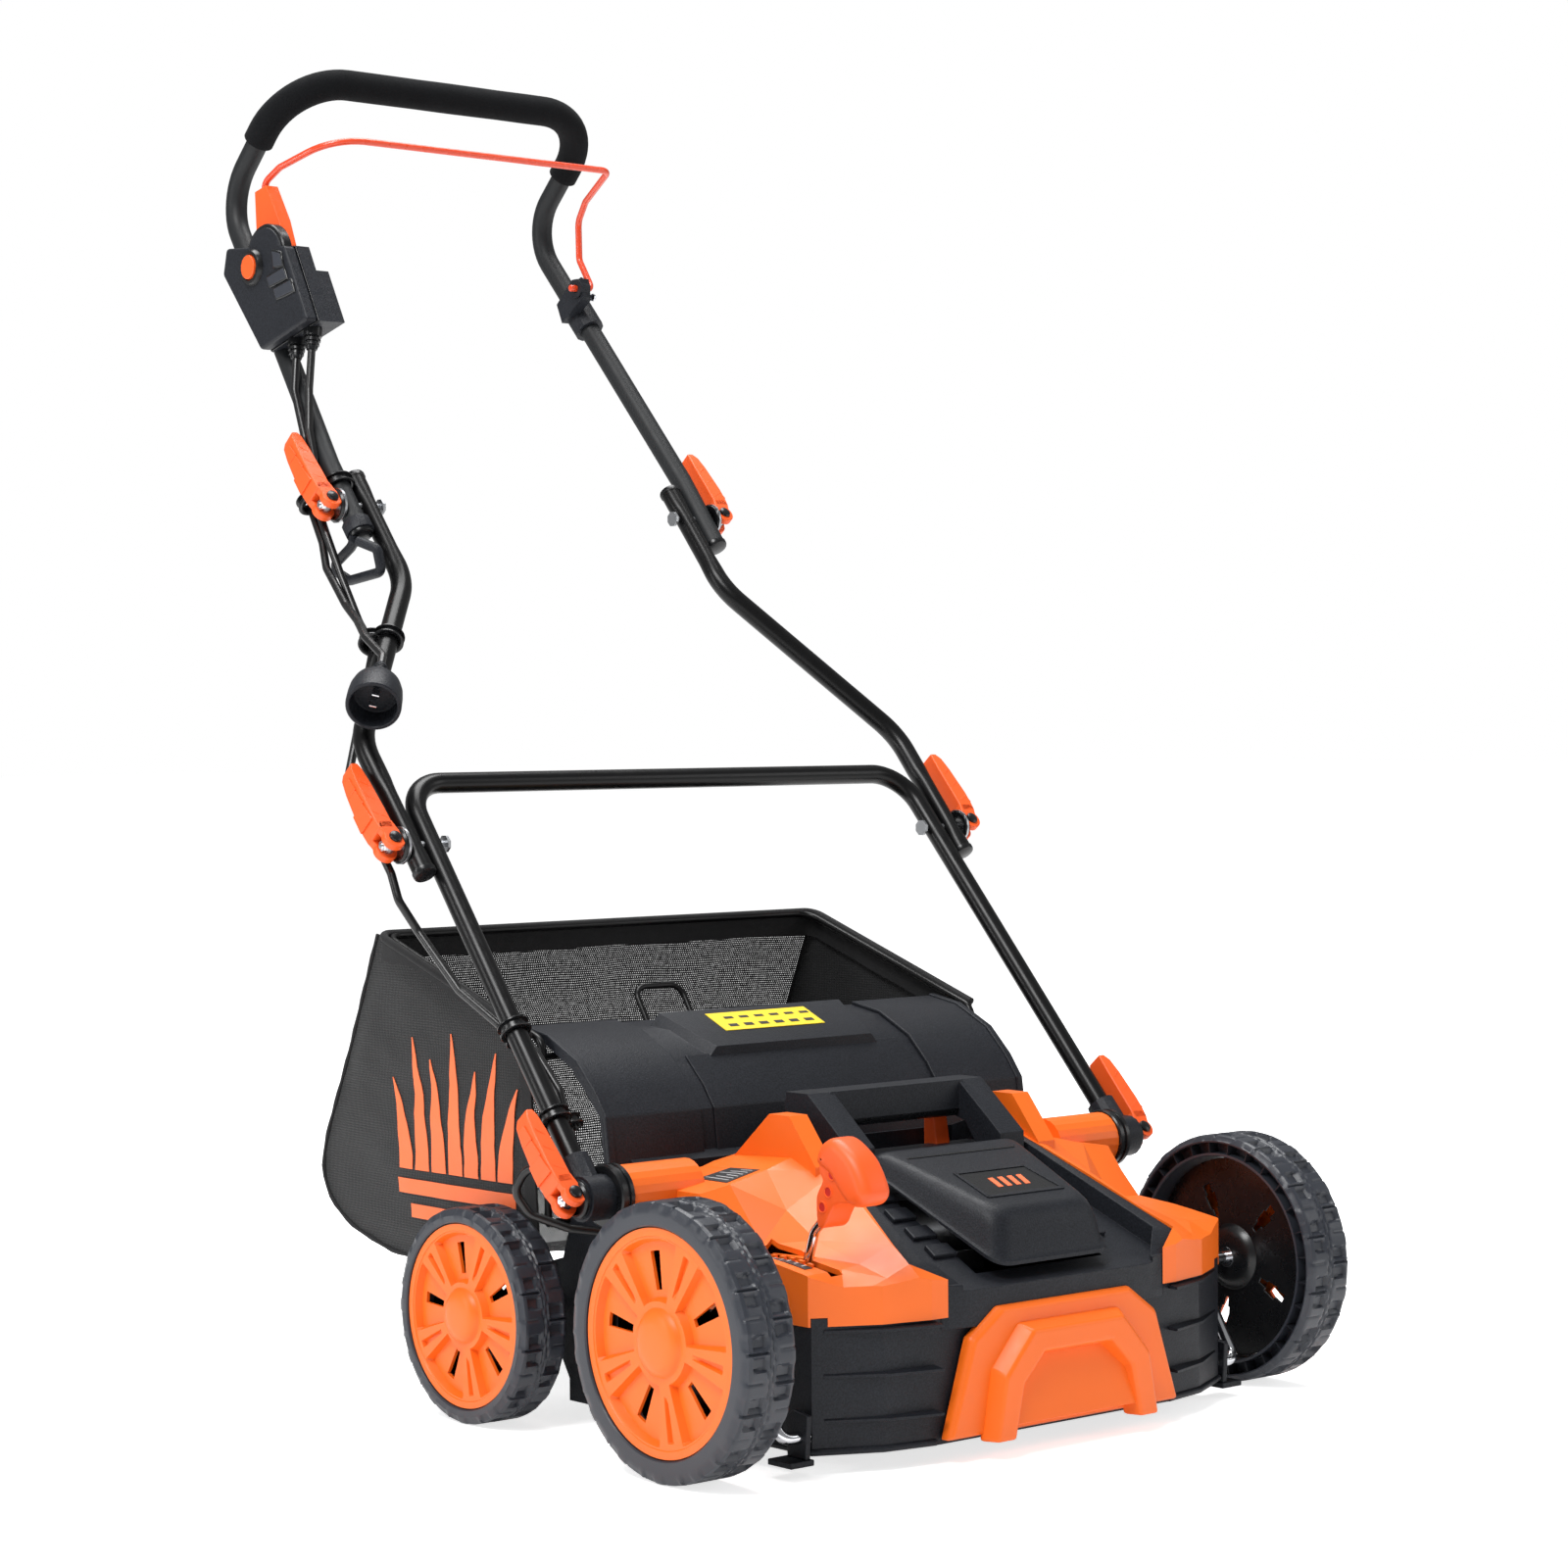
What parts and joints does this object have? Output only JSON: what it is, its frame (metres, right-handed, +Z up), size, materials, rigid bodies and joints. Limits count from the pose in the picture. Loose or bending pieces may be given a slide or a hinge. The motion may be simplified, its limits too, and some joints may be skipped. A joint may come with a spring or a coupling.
{
  "type": "lawn dethatcher",
  "caption": "Wheeled electric lawn dethatcher with an orange and black deck, spring-tine rotor, folding tube handle, safety bail, rear flap and open mesh collection bag.",
  "frame": {"origin": "centre of the bounding box footprint, on the ground under the wheels", "axes": "+X to the right seen from behind the handle, -Y towards the front of the machine, +Z up"},
  "size_m": [0.6314, 0.889, 1.1135],
  "materials": {
    "painted_orange": "satin moulded orange plastic",
    "black_plastic": "fine-textured black plastic",
    "black_tube": "gloss black coated steel tube",
    "orange_wire": "orange-red painted steel wire",
    "steel": "bright zinc-plated steel",
    "tyre": "dark grey moulded tread ring",
    "foam": "soft black foam sleeve",
    "cable": "smooth black cable jacket",
    "mesh_fabric": "black woven mesh"
  },
  "bodies": {
    "deck": {"deck_housing": "black_plastic", "top_cover": "black_plastic", "side_panel_right": "painted_orange", "side_panel_left": "painted_orange", "front_bumper": "painted_orange", "motor_hood": "black_plastic", "carry_handle": "black_plastic", "electric_motor": "steel", "drive_belt": "cable", "rear_axle": "steel", "rotor_bearing_right": "steel", "rotor_bearing_left": "steel", "motor_cable_loop": "cable"},
    "lower_handle_body": {"lower_handle": "black_tube", "handle_bracket_right": "black_plastic", "handle_bracket_left": "black_plastic", "motor_cable_lower": "cable"},
    "middle_body": {"middle_tube_right": "black_tube", "middle_tube_left": "black_tube", "middle_bolt_right": "steel", "middle_bolt_left": "steel", "motor_cable_middle": "cable", "power_lead": "cable", "power_plug": "cable"},
    "upper_body": {"upper_handle": "black_tube", "foam_grip": "foam", "switch_box": "black_plastic", "switch_cover": "black_plastic", "bail_bracket": "black_plastic", "cable_hook": "black_plastic", "upper_bolt_right": "steel", "upper_bolt_left": "steel", "handle_cables": "cable"},
    "bail": {"bail_wire": "orange_wire", "bail_arm": "painted_orange"},
    "button": {"safety_button": "painted_orange"},
    "height_crank": {"front_axle": "steel", "height_knob": "painted_orange"},
    "rotor": {"rotor_core": "black_plastic", "tine_rod_rear": "steel", "tine_rod_front": "steel", "rotor_pulley": "steel"},
    "motor_shaft": {"motor_pulley": "steel"},
    "flap": {"rear_flap": "black_plastic"},
    "bag": {"bag_fabric": "mesh_fabric", "bag_frame": "black_tube"},
    "lever_lower_right": {"cam_lever_lower_right": "painted_orange"},
    "lever_lower_left": {"cam_lever_lower_left": "painted_orange"},
    "lever_middle_right": {"cam_lever_middle_right": "painted_orange"},
    "lever_middle_left": {"cam_lever_middle_left": "painted_orange"},
    "lever_upper_right": {"cam_lever_upper_right": "painted_orange"},
    "lever_upper_left": {"cam_lever_upper_left": "painted_orange"},
    "front_wheel_right": {"front_tyre_right": "tyre", "front_rim_right": "painted_orange"},
    "front_wheel_left": {"front_tyre_left": "tyre", "front_rim_left": "painted_orange"},
    "rear_wheel_right": {"rear_tyre_right": "tyre", "rear_rim_right": "painted_orange"},
    "rear_wheel_left": {"rear_tyre_left": "tyre", "rear_rim_left": "painted_orange"}
  },
  "joints": [
    {"name": "lower_fold", "type": "hinge", "parent": "deck", "child": "lower_handle_body", "pos_m": [0, -0.214, 0.188], "axis": [1, 0, 0], "range_deg": [0, 100]},
    {"name": "mid_fold", "type": "hinge", "parent": "lower_handle_body", "child": "middle_body", "pos_m": [0, 0.002, 0.443], "axis": [-1, 0, 0], "range_deg": [-140, 0]},
    {"name": "upper_fold", "type": "hinge", "parent": "middle_body", "child": "upper_body", "pos_m": [0, 0.228, 0.721], "axis": [1, 0, 0], "range_deg": [0, 150]},
    {"name": "bail_squeeze", "type": "hinge", "parent": "upper_body", "child": "bail", "pos_m": [0, 0.364, 0.942], "axis": [-1, 0, 0], "range_deg": [0, 22], "stiffness_Nm_per_rad": 0.6, "springref_deg": -20.05},
    {"name": "button_press", "type": "slide", "parent": "upper_body", "child": "button", "axis": [1, 0, 0], "range_m": [0, 0.004], "stiffness_N_per_m": 400, "springref_m": -0.002},
    {"name": "height_adjust", "type": "hinge", "parent": "deck", "child": "height_crank", "pos_m": [0, -0.379, 0.028], "axis": [1, 0, 0], "range_deg": [-10, 12]},
    {"name": "rotor_spin", "type": "hinge", "parent": "deck", "child": "rotor", "pos_m": [0, -0.224, 0.058], "axis": [1, 0, 0], "continuous": true},
    {"name": "motor_spin", "type": "hinge", "parent": "deck", "child": "motor_shaft", "pos_m": [0, -0.272, 0.148], "axis": [1, 0, 0], "continuous": true},
    {"name": "flap_lift", "type": "hinge", "parent": "deck", "child": "flap", "pos_m": [0, -0.164, 0.198], "axis": [1, 0, 0], "range_deg": [0, 55]},
    {"name": "bag_slide", "type": "slide", "parent": "deck", "child": "bag", "axis": [0, 1, 0], "range_m": [0, 0.35]},
    {"name": "lever_lower_right_open", "type": "hinge", "parent": "lower_handle_body", "child": "lever_lower_right", "pos_m": [0.2995, -0.214, 0.188], "axis": [0, 0.763, -0.6463], "range_deg": [0, 95]},
    {"name": "lever_lower_left_open", "type": "hinge", "parent": "lower_handle_body", "child": "lever_lower_left", "pos_m": [-0.2995, -0.214, 0.188], "axis": [0, -0.763, 0.6463], "range_deg": [0, 95]},
    {"name": "lever_middle_right_open", "type": "hinge", "parent": "middle_body", "child": "lever_middle_right", "pos_m": [0.3072, 0.002, 0.443], "axis": [0, 0.763, -0.6463], "range_deg": [0, 95]},
    {"name": "lever_middle_left_open", "type": "hinge", "parent": "middle_body", "child": "lever_middle_left", "pos_m": [-0.3072, 0.002, 0.443], "axis": [0, -0.763, 0.6463], "range_deg": [0, 95]},
    {"name": "lever_upper_right_open", "type": "hinge", "parent": "upper_body", "child": "lever_upper_right", "pos_m": [0.213, 0.228, 0.721], "axis": [0, 0.763, -0.6463], "range_deg": [0, 95]},
    {"name": "lever_upper_left_open", "type": "hinge", "parent": "upper_body", "child": "lever_upper_left", "pos_m": [-0.213, 0.228, 0.721], "axis": [0, -0.763, 0.6463], "range_deg": [0, 95]},
    {"name": "front_wheel_right_spin", "type": "hinge", "parent": "height_crank", "child": "front_wheel_right", "pos_m": [0.291, -0.334, 0.1], "axis": [1, 0, 0], "continuous": true},
    {"name": "front_wheel_left_spin", "type": "hinge", "parent": "height_crank", "child": "front_wheel_left", "pos_m": [-0.291, -0.334, 0.1], "axis": [1, 0, 0], "continuous": true},
    {"name": "rear_wheel_right_spin", "type": "hinge", "parent": "deck", "child": "rear_wheel_right", "pos_m": [0.268, -0.061, 0.083], "axis": [1, 0, 0], "continuous": true},
    {"name": "rear_wheel_left_spin", "type": "hinge", "parent": "deck", "child": "rear_wheel_left", "pos_m": [-0.268, -0.061, 0.083], "axis": [1, 0, 0], "continuous": true}
  ],
  "couplings": [
    {"joint": "motor_spin", "follows": "rotor_spin", "ratio": 1.6}
  ]
}
